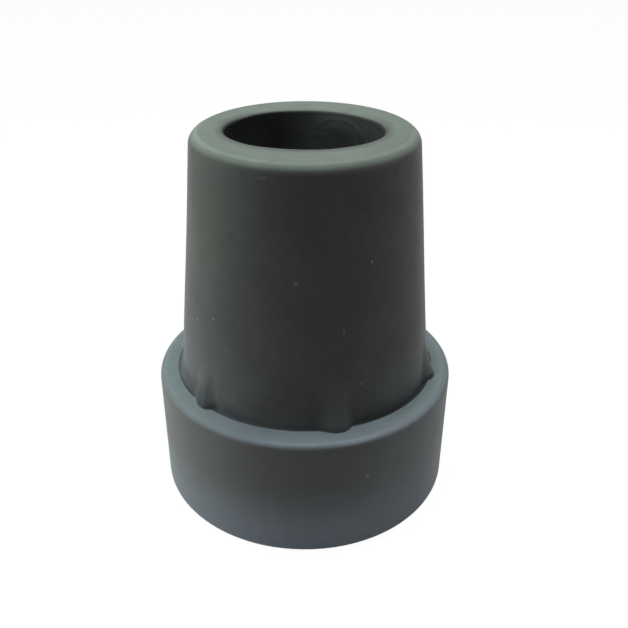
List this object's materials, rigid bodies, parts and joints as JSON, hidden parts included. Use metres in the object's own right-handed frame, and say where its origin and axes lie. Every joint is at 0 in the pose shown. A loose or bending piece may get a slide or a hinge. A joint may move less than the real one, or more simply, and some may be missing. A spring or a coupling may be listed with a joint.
{
  "type": "rubber cane tip",
  "caption": "Moulded rubber tip for a walking cane: a tapered sleeve with a blind socket on a broad round foot with a ringed sole.",
  "frame": {"origin": "centre of the sole, on the plane that the tread rings stand on", "axes": "+Z along the axis, from the sole to the socket's mouth; the first gusset rib is 17.5 degrees from +X towards -Y"},
  "size_m": [0.04, 0.04, 0.0496],
  "materials": {
    "grey_rubber": "matt moulded rubber, slightly dusty"
  },
  "bodies": {
    "root": {"cane_tip": "grey_rubber"}
  },
  "joints": []
}
